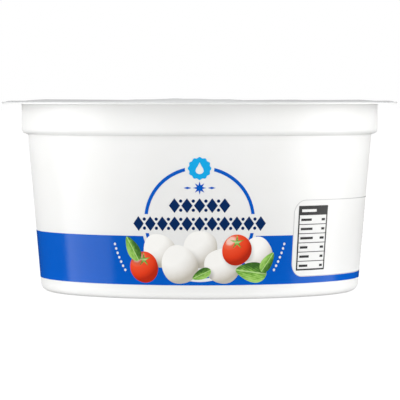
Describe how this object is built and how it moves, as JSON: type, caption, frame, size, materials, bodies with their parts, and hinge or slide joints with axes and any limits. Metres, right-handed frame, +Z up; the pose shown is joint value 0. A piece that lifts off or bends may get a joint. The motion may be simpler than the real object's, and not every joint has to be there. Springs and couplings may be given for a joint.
{
  "type": "mozzarella tub with sealed film lid",
  "caption": "Shut round tub of small mozzarella balls: white moulded cup with collar and thin flange, under a sealed peel-off film lid.",
  "frame": {"origin": "centre of the foot ring, on the surface that the tub stands on", "axes": "+Z up along the tub's axis, -Y out of the decorated front"},
  "size_m": [0.105, 0.105, 0.0509],
  "materials": {
    "tub_plastic": "white moulded polypropylene, satin gloss",
    "lid_film": "white lidding film, soft sheen, slightly buckled",
    "print_blue": "gloss ink on the tub's wall: the band, the ring and the star",
    "print_navy": "gloss ink: the rows of diamonds",
    "print_sky": "gloss ink: the small seal over the ring",
    "print_grey": "gloss ink: the rules and bars of the information panel",
    "print_cream": "gloss ink: the drawn mozzarella balls",
    "print_red": "gloss ink: the drawn tomatoes",
    "print_green": "gloss ink: the drawn leaves"
  },
  "bodies": {
    "root": {"tub": "tub_plastic", "lid_film": "lid_film"}
  },
  "joints": []
}
